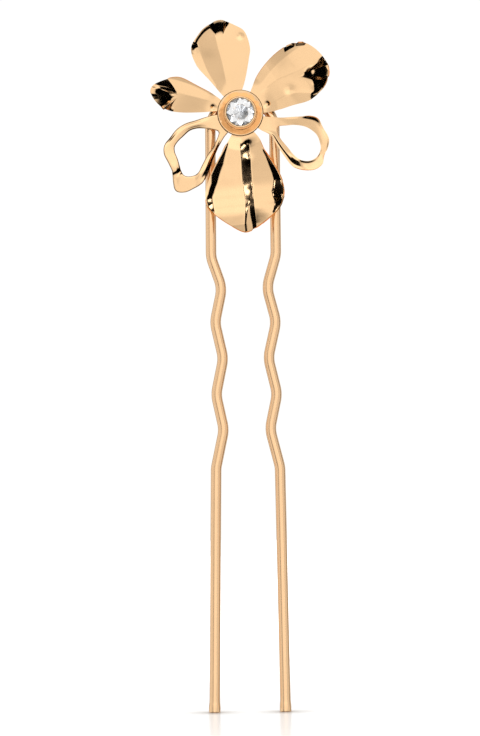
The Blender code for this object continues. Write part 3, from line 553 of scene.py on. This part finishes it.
def open_petal(name, spec):
    """An open petal meshed in rows round its loop."""
    outer, inner, heights = zip(*spec["stations"])
    outer = spline([(*place, *five) for place, five in zip(outer, heights)], closed=True)
    inner = spline(inner, closed=True)
    index = np.linspace(0, len(outer) - 1, RIBBON_ROWS, endpoint=False)
    steps = np.arange(len(outer))
    outer = np.stack([np.interp(index, steps, column) for column in outer.T], axis=-1)
    inner = np.stack([np.interp(index, steps, column) for column in inner.T], axis=-1)
    outer, sections = outer[:, :2], outer[:, 2:]
    span = inner - outer
    unit = span / np.linalg.norm(span, axis=1, keepdims=True)
    outer = outer + unit * SHEET / 2
    inner = inner - unit * SHEET / 2
    v = np.linspace(0, 1, RIBBON_COLUMNS)[None, :, None]
    places = (1 - v) * outer[:, None] + v * inner[:, None]
    x, z = places[..., 0], places[..., 1]
    radius = np.hypot(x, z)
    opened = ramp(radius, FLAT_RADIUS, FLAT_RADIUS + RIBBON_OPENING)
    knots = np.linspace(0, 1, len(FLAT))
    shifts = np.linspace(-SECTION_ROUNDING, SECTION_ROUNDING, 5)
    section = sum(np.array([np.interp(v[0, :, 0] + shift, knots, five)
                            for five in sections]) for shift in shifts) / len(shifts)
    forward = FOOT_FRONT + spec["rise"] * ramp(radius, FLAT_RADIUS, REACH) + opened * section
    rows = np.arange(RIBBON_ROWS * RIBBON_COLUMNS).reshape(RIBBON_ROWS, RIBBON_COLUMNS)
    faces = []
    for left, right in zip(rows.T, rows.T[1:]):
        faces.extend(ring_faces(left, right))
    places = flower_points(x, z, forward, PETAL_SCALE).reshape(-1, 3)
    return thick_sheet(name, places, faces, [rows[:, 0], rows[::-1, -1]])


# ---------------------------------------------------------------- turned pieces

TURN_STEPS = 128
SHARP_EDGE = 35


def turned(name, profile):
    """A turned piece on the flower's axis; the profile is (radius, height), top first."""
    angles = np.linspace(0, 2 * math.pi, TURN_STEPS, endpoint=False)
    verts = []
    loops = []
    for radius, height in profile:
        if radius == 0:
            loops.append([len(verts)])
            verts.append(flower_points(0.0, 0.0, height))
            continue
        loops.append(list(range(len(verts), len(verts) + TURN_STEPS)))
        verts.extend(flower_points(radius * np.cos(angles), radius * np.sin(angles),
                                   np.full(TURN_STEPS, height)))
    closed = profile[0][0] > 0
    faces = []
    for k in range(len(loops) if closed else len(loops) - 1):
        upper, lower = loops[k], loops[(k + 1) % len(loops)]
        for i in range(TURN_STEPS):
            j = (i + 1) % TURN_STEPS
            if len(upper) == 1:
                faces.append((upper[0], lower[i], lower[j]))
            elif len(lower) == 1:
                faces.append((upper[i], lower[0], upper[j]))
            else:
                faces.append((upper[i], lower[i], lower[j], upper[j]))
    obj = mesh_object(name, verts, faces)
    obj.data.set_sharp_from_angle(angle=math.radians(SHARP_EDGE))
    return obj


def arc(centre, radius, start, end, count):
    """Points on an arc of a profile, angles in degrees from the outward direction."""
    angles = np.linspace(math.radians(start), math.radians(end), count)
    return [(centre[0] + radius * math.cos(a), centre[1] + radius * math.sin(a)) for a in angles]


def back_plate():
    edge = 0.12
    rim = PLATE_RADIUS - edge
    return turned("finished_back_plate", [
        (PEG_HOLE, BACK_PLATE_FRONT),
        *arc((rim, BACK_PLATE_FRONT - edge), edge, 90, 0, 6),
        *arc((rim, BACK_PLATE_REAR + edge), edge, 0, -90, 6),
        (PEG_HOLE, BACK_PLATE_REAR),
    ])


def hub_disc():
    edge = 0.08
    rim = PLATE_RADIUS - edge
    return turned("finished_hub_disc", [
        (PEG_HOLE, FOOT_FRONT),
        (BOSS_RADIUS, FOOT_FRONT),
        (BOSS_RADIUS, HUB_FRONT),
        *arc((rim, HUB_FRONT - edge), edge, 90, 0, 5),
        *arc((rim, HUB_REAR + edge), edge, 0, -90, 5),
        (PEG_HOLE, HUB_REAR),
    ])


def centre_dish():
    floor = 2.05
    edge = DISH_SHEET / 2
    inside = [(radius, DISH_BACK + DISH_SHEET + DISH_DEPTH * (radius - floor)
               / (DISH_RADIUS - edge - floor))
              for radius in np.linspace(floor, DISH_RADIUS - edge, 8)]
    outside = [(radius, height - DISH_SHEET) for radius, height in inside[::-1]]
    return turned("finished_centre_dish", [
        (PEG_HOLE, DISH_BACK + DISH_SHEET),
        *inside[:-1],
        *arc((DISH_RADIUS - edge, inside[-1][1] - edge), edge, 110, -90, 12),
        *outside[1:],
        (PEG_HOLE, DISH_BACK),
    ])


def bezel_cup():
    """The cup, its lip turned over the crystal's crown, and the peg below it, in one."""
    bore = GIRDLE_RADIUS + 0.06
    lip = 0.06
    flared = CUP_RADIUS + 0.12
    peg_end = BACK_PLATE_REAR + 0.05
    return turned("finished_bezel_cup", [
        (0.0, CUP_FLOOR),
        (bore, CUP_FLOOR),
        (bore, GIRDLE + 0.09),
        (bore - 0.17, GIRDLE + 0.2),
        *arc((bore - 0.05, CUP_LIP - lip), lip, 170, 90, 6),
        *arc((CUP_RADIUS - lip, CUP_LIP - lip), lip, 85, 0, 6),
        (CUP_RADIUS, CUP_LIP - 0.25),
        (flared, CUP_BACK + 0.1),
        (flared, CUP_BACK),
        (PEG_RADIUS, CUP_BACK),
        (PEG_RADIUS, peg_end),
        (0.0, peg_end),
    ])


def crystal_foil():
    """A thin cone that lies close behind the crystal's pavilion."""
    film = 0.07
    rim = GIRDLE_RADIUS - 0.08
    apex = CULET - 0.16
    front = ((0.0, apex), (rim, apex + rim * (GIRDLE - CULET) / GIRDLE_RADIUS))
    back = [(radius, height - film) for radius, height in reversed(front)]
    return turned("finished_crystal_foil", [*front, *back])


CRYSTAL_TILT = 3.0
CRYSTAL_TILT_AXIS = (1.0, 0.0, 0.6)


def crystal():
    """A round brilliant, slightly askew: the hull of its table, star, girdle and pavilion."""
    # (points in the ring, turn in steps, radius, height)
    rings = (
        (8, 0.5, 1.08, TABLE),
        (8, 0.0, 1.46, GIRDLE + 0.31),
        (16, 0.0, GIRDLE_RADIUS, GIRDLE + 0.06),
        (16, 0.0, GIRDLE_RADIUS, GIRDLE),
        (4, 0.25, 1.03, CULET + 0.79),
        (4, 0.75, 1.03, CULET + 0.845),
    )
    bm = bmesh.new()
    for count, shift, radius, height in rings:
        for i in range(count):
            x, z = polar(radius, 360 * (i + shift) / count)
            bm.verts.new(flower_points(x, z, height))
    bm.verts.new(flower_points(0.0, 0.0, CULET))
    bmesh.ops.convex_hull(bm, input=bm.verts)
    askew = Matrix.Rotation(math.radians(CRYSTAL_TILT), 3, Vector(CRYSTAL_TILT_AXIS))
    bmesh.ops.rotate(bm, verts=bm.verts, cent=flower_points(0.0, 0.0, GIRDLE), matrix=askew)
    mesh = bpy.data.meshes.new("finished_crystal")
    bm.to_mesh(mesh)
    bm.free()
    return new_object("finished_crystal", mesh)


# ---------------------------------------------------------------- wire

BEND_STEPS = 12
TIP_HEIGHTS = (0.01, 0.03, 0.06, 0.1, 0.3, 0.6, 0.8, 1.0, 1.2, 1.4, 1.6)


def rounded(corner, before, after, radius):
    """The points of the bend that a wire makes at a corner of its route."""
    to_before = (before - corner).normalized()
    to_after = (after - corner).normalized()
    half = to_before.angle(to_after) / 2
    tangent = radius / math.tan(half)
    centre = corner + (to_before + to_after).normalized() * (radius / math.sin(half))
    start = corner + to_before * tangent - centre
    turn = math.pi - 2 * half
    sign = 1.0 if to_before.cross(to_after).y > 0 else -1.0
    return [centre + Matrix.Rotation(sign * -turn * i / (BEND_STEPS - 1), 3, "Y") @ start
            for i in range(BEND_STEPS)]


def wire_route():
    """The wire's centreline from the left tip, up over the bow and down to the right tip."""
    bow = [Vector((BOW_X + BOW_RADIUS * math.cos(a), 0.0, BOW_Z + BOW_RADIUS * math.sin(a)))
           for a in np.linspace(math.pi, 0, 61)]
    left = [Vector((x, 0.0, z)) for x, z in ((-PRONG_TIP_X, 0.0), *LEFT_BENDS)]
    right = [Vector((x, 0.0, z)) for x, z in ((PRONG_TIP_X, 0.0), *RIGHT_BENDS)]
    corners = [*left, *bow, *reversed(right)]
    route = [corners[0]]
    for before, corner, after in zip(corners, corners[1:], corners[2:]):
        if corner in bow:
            route.append(corner)
        else:
            route.extend(rounded(corner, before, after, BEND_RADIUS))
    route.append(corners[-1])
    return route


def tip_radius(height):
    """The wire's radius near its tip, as a share: rounded off, then slightly swollen."""
    dome = 0.1
    swell = 1.0 + 0.1 * (1 - ramp(height, 0.6, 1.6))
    if height < dome:
        return swell * (0.85 + 0.15 * math.sqrt(max(1 - (1 - height / dome) ** 2, 0.0)))
    return swell


def pin_wire():
    """One round wire along its route, with extra points where the tips change in radius."""
    curve = bpy.data.curves.new("finished_pin_wire", "CURVE")
    curve.dimensions = "3D"
    curve.bevel_depth = WIRE_DIAMETER / 2 * MM
    curve.bevel_resolution = 14
    curve.use_fill_caps = True
    route = wire_route()
    first = [route[0].lerp(route[1], z / route[1].z) for z in TIP_HEIGHTS]
    last = [route[-1].lerp(route[-2], z / route[-2].z) for z in reversed(TIP_HEIGHTS)]
    route = [route[0], *first, *route[1:-1], *last, route[-1]]
    points = curve.splines.new("POLY").points
    points.add(len(route) - 1)
    for point, place in zip(points, route):
        point.co = (*(place * MM), 1.0)
        point.radius = tip_radius(place.z)
    return new_object("finished_pin_wire", curve)


# ---------------------------------------------------------------- shader nodes

class Nodes:
    """Arithmetic on a shader tree's sockets."""

    def __init__(self, tree):
        self.tree = tree

    def math(self, operation, *values):
        node = self.tree.nodes.new("ShaderNodeMath")
        node.operation = operation
        for socket, value in zip(node.inputs, values):
            if isinstance(value, (int, float)):
                socket.default_value = value
            else:
                self.tree.links.new(value, socket)
        return node.outputs[0]

    def step(self, value, low, high, start=0.0, end=1.0):
        """start below low, end above high, and smooth between."""
        node = self.tree.nodes.new("ShaderNodeMapRange")
        node.interpolation_type = "SMOOTHSTEP"
        node.inputs["From Min"].default_value = low
        node.inputs["From Max"].default_value = high
        node.inputs["To Min"].default_value = start
        node.inputs["To Max"].default_value = end
        self.tree.links.new(value, node.inputs["Value"])
        return node.outputs["Result"]


# A mix node lists its number and vector sockets first, so these are the colour ones
MIX_FIRST = 6
MIX_SECOND = 7
MIX_RESULT = 2


def blend(tree, share, first, second):
    """The first colour where share is 0, the second where it is 1."""
    mix = tree.nodes.new("ShaderNodeMix")
    mix.data_type = "RGBA"
    tree.links.new(share, mix.inputs["Factor"])
    for index, colour in ((MIX_FIRST, first), (MIX_SECOND, second)):
        if isinstance(colour, (tuple, list)):
            mix.inputs[index].default_value = (*colour, 1.0)
        else:
            tree.links.new(colour, mix.inputs[index])
    return mix.outputs[MIX_RESULT]


def noise(tree, scale, low, high, detail=2.0):
    """A value that wanders between low and high over the piece."""
    place = tree.nodes.new("ShaderNodeTexCoord")
    texture = tree.nodes.new("ShaderNodeTexNoise")
    texture.inputs["Scale"].default_value = scale
    texture.inputs["Detail"].default_value = detail
    tree.links.new(place.outputs["Object"], texture.inputs["Vector"])
    spread = tree.nodes.new("ShaderNodeMapRange")
    spread.inputs["To Min"].default_value = low
    spread.inputs["To Max"].default_value = high
    tree.links.new(texture.outputs["Fac"], spread.inputs["Value"])
    return spread.outputs["Result"]


def tinted(tree, scale, shade, light, detail=2.0):
    """A colour that wanders between two over the piece."""
    return blend(tree, noise(tree, scale, 0.0, 1.0, detail), shade, light)


def dimpled(tree, scale, depth, detail=2.0):
    """A surface normal with fine dimples, depth in millimetres."""
    bump = tree.nodes.new("ShaderNodeBump")
    bump.inputs["Distance"].default_value = depth * MM
    tree.links.new(noise(tree, scale, 0.0, 1.0, detail), bump.inputs["Height"])
    return bump.outputs["Normal"]


# ---------------------------------------------------------------- materials

# Painted facet reflections in the foil: the number of gores of each kind, bright and grey
PAINTED_REFLECTION_GORES = 8.0


def new_material(name):
    mat = bpy.data.materials.new(name)
    mat.use_nodes = True
    return mat, mat.node_tree, mat.node_tree.nodes["Principled BSDF"]


def plated_metal(name, colour, roughness, ripple_size, ripple_depth):
    """Polished plating: faint polishing marks and slow waviness over a mirror finish."""
    mat, tree, shader = new_material(name)
    darker = [0.97 * c for c in colour]
    lighter = [min(1.03 * c, 1.0) for c in colour]
    waves = dimpled(tree, 1 / (ripple_size * MM), ripple_depth, detail=1.0)
    marks = noise(tree, 3500.0, roughness * 0.7, roughness * 1.3)
    tree.links.new(tinted(tree, 260.0, darker, lighter, detail=3.0), shader.inputs["Base Color"])
    tree.links.new(marks, shader.inputs["Roughness"])
    tree.links.new(waves, shader.inputs["Normal"])
    shader.inputs["Metallic"].default_value = 1.0
    return mat


def glass_material():
    """Cut glass, faintly grey in places and with polishing marks on its facets."""
    mat, tree, shader = new_material("cut_crystal")
    tree.links.new(tinted(tree, 900.0, (0.80, 0.82, 0.86), (1.0, 1.0, 1.0)),
                   shader.inputs["Base Color"])
    tree.links.new(noise(tree, 4000.0, 0.0, 0.03), shader.inputs["Roughness"])
    tree.links.new(dimpled(tree, 2500.0, 0.0004), shader.inputs["Normal"])
    # from about 1.6 up, total reflection hides the foil behind the stone
    shader.inputs["IOR"].default_value = 1.5
    shader.inputs["Transmission Weight"].default_value = 1.0
    return mat


def foil_material():
    """Silver foil, slightly crumpled, in gores that are bright and grey by turns: the grey gores
    are painted reflections of the crystal's dark facets.
    """
    mat, tree, shader = new_material("silver_foil")
    make = Nodes(tree)
    split = tree.nodes.new("ShaderNodeSeparateXYZ")
    tree.links.new(tree.nodes.new("ShaderNodeTexCoord").outputs["Object"], split.inputs[0])
    across = make.math("SUBTRACT", split.outputs["X"], FLOWER_X * MM)
    up = make.math("SUBTRACT", split.outputs["Z"], FLOWER_Z * MM)
    turn = make.math("ARCTAN2", up, across)
    # painted reflection: every other gore is dark grey, where the crystal's facets would show dark
    painted_reflection = make.step(make.math("SINE", make.math("MULTIPLY", turn, PAINTED_REFLECTION_GORES)), -0.3, 0.1)
    silver = tinted(tree, 1500.0, (0.74, 0.76, 0.80), (0.88, 0.90, 0.92))
    tree.links.new(blend(tree, painted_reflection, (0.10, 0.11, 0.13), silver), shader.inputs["Base Color"])
    tree.links.new(noise(tree, 3000.0, 0.05, 0.15), shader.inputs["Roughness"])
    tree.links.new(dimpled(tree, 1200.0, 0.01), shader.inputs["Normal"])
    shader.inputs["Metallic"].default_value = 1.0
    return mat


# ---------------------------------------------------------------- studio

# The way to the front screen's middle, the level of the rest of the tent, and the level of
# the background that the camera sees past the pin
SCREEN_MIDDLE = (-0.05, -0.98, 0.12)
TENT_LEVEL = 0.62
BACKGROUND_LEVEL = 1.05


def studio():
    """A white tent: bright in front, behind, overhead and underfoot, and dark between."""
    world = bpy.data.worlds.new("studio")
    bpy.context.scene.world = world
    world.use_nodes = True
    tree = world.node_tree
    make = Nodes(tree)
    direction = tree.nodes.new("ShaderNodeTexCoord").outputs["Generated"]
    split = tree.nodes.new("ShaderNodeSeparateXYZ")
    tree.links.new(direction, split.inputs[0])
    x, y, z = split.outputs
    # the front screen: (direction, from, to, level before, level after), added together
    level = 0.0
    for row in (
        (x, -0.25, -0.10, 0.79, 1.04),  # tan on the left, bright in the middle
        (x, 0.25, 0.45, 0.0, -0.16),  # less bright on the right
        (z, 0.02, 0.28, 0.0, 0.30),  # brightest a little above the middle
        (z, 0.45, 0.62, 0.0, -0.60),  # dark towards the top
        (z, -0.45, -0.15, -0.35, 0.0),  # dimmer towards the bottom
    ):
        level = make.math("ADD", level, make.step(*row))
    toward = tree.nodes.new("ShaderNodeVectorMath")
    toward.operation = "DOT_PRODUCT"
    tree.links.new(direction, toward.inputs[0])
    toward.inputs[1].default_value = SCREEN_MIDDLE
    in_front = make.step(toward.outputs["Value"], 0.75, 0.81)
    # the rest of the tent: lit behind, overhead and underfoot
    behind = make.step(y, 0.25, 0.35, 0.0, TENT_LEVEL)
    steep = make.step(make.math("ABSOLUTE", z), 0.88, 0.96, 0.0, TENT_LEVEL)
    rest = make.math("MAXIMUM", behind, steep)
    lit = make.math("ADD", make.math("MULTIPLY", level, in_front),
                    make.math("MULTIPLY", rest, make.math("SUBTRACT", 1.0, in_front)))
    seen = tree.nodes.new("ShaderNodeLightPath").outputs["Is Camera Ray"]
    strength = make.math("ADD", make.math("MULTIPLY", lit, make.math("SUBTRACT", 1.0, seen)),
                         make.math("MULTIPLY", seen, BACKGROUND_LEVEL))
    background = tree.nodes["Background"]
    background.inputs["Color"].default_value = (1.0, 0.985, 0.96, 1.0)
    tree.links.new(strength, background.inputs["Strength"])


LIGHT_DISTANCE = 0.30


def panel(name, size, radiance, direction, target, lit, distance=LIGHT_DISTANCE, disc=False):
    """A white panel that faces the target from a direction, and lights the pieces in lit."""
    data = bpy.data.lights.new(name, "AREA")
    data.shape = "ELLIPSE" if disc else "RECTANGLE"
    data.size, data.size_y = size
    area = size[0] * size[1] * (math.pi / 4 if disc else 1.0)
    data.energy = radiance * math.pi * area
    obj = new_object(name, data)
    toward = Vector(direction).normalized()
    obj.location = Vector(target) + distance * toward
    obj.rotation_euler = toward.to_track_quat("Z", "Y").to_euler()
    obj.light_linking.receiver_collection = lit
    obj.visible_camera = False


def group(name, pieces):
    collection = bpy.data.collections.new(name)
    for piece in pieces:
        collection.objects.link(piece)
    return collection


def panels(wire, sparkling):
    """Side cards that keep the wire light, and small lamps that spark in a petal's walls."""
    middle = (0.0, 0.0, 0.05)
    wire_only = group("lit_by_side_cards", [wire])
    for name, size, radiance, direction in (
        ("left_card", (0.40, 0.401), 0.84, (-0.98, -0.20, 0.0)),
        ("right_card", (0.40, 0.401), 0.80, (0.89, -0.45, 0.0)),
        ("front_card", (0.09, 0.60), 0.22, (-0.29, -0.957, 0.0)),
        ("centre_card", (0.12, 0.60), 0.12, (0.05, -1.0, 0.0)),
    ):
        panel(name, size, radiance, direction, middle, wire_only)
    flower = (FLOWER_X * MM, 0.0, FLOWER_Z * MM)
    lamplit = group("lit_by_lamps", sparkling)
    for name, direction in (("right_lamp", (0.82, -0.53, 0.23)),
                            ("left_lamp", (-0.84, -0.51, 0.19))):
        panel(name, (0.05, 0.05), 3.0, direction, flower, lamplit, disc=True)


FLOOR_REACH = 0.6


def floor():
    """A pale floor, lit from overhead round the pin's tips and glowing white further out."""
    bm = bmesh.new()
    bmesh.ops.create_grid(bm, x_segments=8, y_segments=8, size=FLOOR_REACH)
    mesh = bpy.data.meshes.new("floor")
    bm.to_mesh(mesh)
    bm.free()
    obj = new_object("floor", mesh)
    mat, tree, shader = new_material("pale_floor")
    make = Nodes(tree)
    shader.inputs["Roughness"].default_value = 0.6
    # painted contact shadow: the floor's colour turns brown where the pin stands close over it
    near = tree.nodes.new("ShaderNodeAmbientOcclusion")
    near.inputs["Distance"].default_value = 4 * MM
    open_to_air = make.math("POWER", near.outputs["AO"], 5.0)
    painted_shadow_tint = blend(tree, open_to_air, (0.30, 0.22, 0.16), (0.95, 0.95, 0.95))
    tree.links.new(painted_shadow_tint, shader.inputs["Base Color"])
    shader.inputs["Specular IOR Level"].default_value = 0.0
    shader.inputs["Emission Color"].default_value = (1.0, 1.0, 1.0, 1.0)
    # its own glow, faint within 20 mm of the origin and white from 150 mm out
    place = tree.nodes.new("ShaderNodeTexCoord").outputs["Object"]
    reach = tree.nodes.new("ShaderNodeVectorMath")
    reach.operation = "LENGTH"
    tree.links.new(place, reach.inputs[0])
    glow = make.step(reach.outputs["Value"], 0.02, 0.15, 0.05, 1.3)
    tree.links.new(glow, shader.inputs["Emission Strength"])
    # a soft mirror over it
    mirror = tree.nodes.new("ShaderNodeBsdfAnisotropic")
    mirror.inputs["Color"].default_value = (1.0, 1.0, 1.0, 1.0)
    mirror.inputs["Roughness"].default_value = 0.2
    mix = tree.nodes.new("ShaderNodeMixShader")
    mix.inputs["Fac"].default_value = 0.3
    tree.links.new(shader.outputs[0], mix.inputs[1])
    tree.links.new(mirror.outputs[0], mix.inputs[2])
    tree.links.new(mix.outputs[0], tree.nodes["Material Output"].inputs["Surface"])
    mesh.materials.append(mat)
    obj.visible_glossy = False
    floor_only = group("lit_from_above", [obj])
    origin = (0.0, 0.0, 0.0)
    panel("overhead", (0.5, 0.501), 1.6, (0.0, 0.0, 1.0), origin, floor_only, distance=0.35)
    panel("backdrop_card", (1.6, 0.8), 0.6, (0.0, 1.0, 0.0), origin, floor_only, distance=0.50)


SENSOR = 36.0


def camera():
    data = bpy.data.cameras.new("camera")
    data.sensor_width = SENSOR
    data.lens = SENSOR * CAMERA_DISTANCE / FRAME_HEIGHT
    data.clip_start = 0.01
    data.clip_end = 10.0
    obj = new_object("camera", data)
    x, z = FRAME_CENTRE
    place = Matrix.Translation(Vector((x, -CAMERA_DISTANCE, z)) * MM)
    upright = Matrix.Rotation(math.radians(90), 4, "X")
    roll = Matrix.Rotation(math.radians(-CAMERA_ROLL), 4, "Z")
    obj.matrix_world = place @ upright @ roll
    bpy.context.scene.camera = obj


def main():
    petal_metal = plated_metal("petal_plating", (0.97, 0.65, 0.365), 0.13, 1.5, 0.010)
    wire_metal = plated_metal("wire_plating", (0.95, 0.62, 0.355), 0.12, 0.6, 0.001)
    hub_metal = plated_metal("hub_plating", (0.95, 0.64, 0.36), 0.08, 0.7, 0.03)
    petals = {}
    for name, spec in PETALS.items():
        petals[name] = petal("finished_" + name, spec)
        finish_piece(petals[name], name, petal_metal)
    for name, spec in OPEN_PETALS.items():
        piece = open_petal("finished_" + name, spec)
        finish_piece(piece, name, petal_metal)
    wire = pin_wire()
    finish_piece(wire, "pin_wire", wire_metal)
    finish_piece(back_plate(), "back_plate", hub_metal)
    finish_piece(hub_disc(), "hub_disc", hub_metal)
    finish_piece(centre_dish(), "centre_dish", hub_metal)
    finish_piece(bezel_cup(), "bezel_cup", hub_metal)
    finish_piece(crystal(), "crystal", glass_material())
    finish_piece(crystal_foil(), "crystal_foil", foil_material())
    studio()
    panels(wire, [petals["petal_bottom"]])
    floor()
    camera()
    bpy.context.scene.view_settings.view_transform = "Standard"


main()
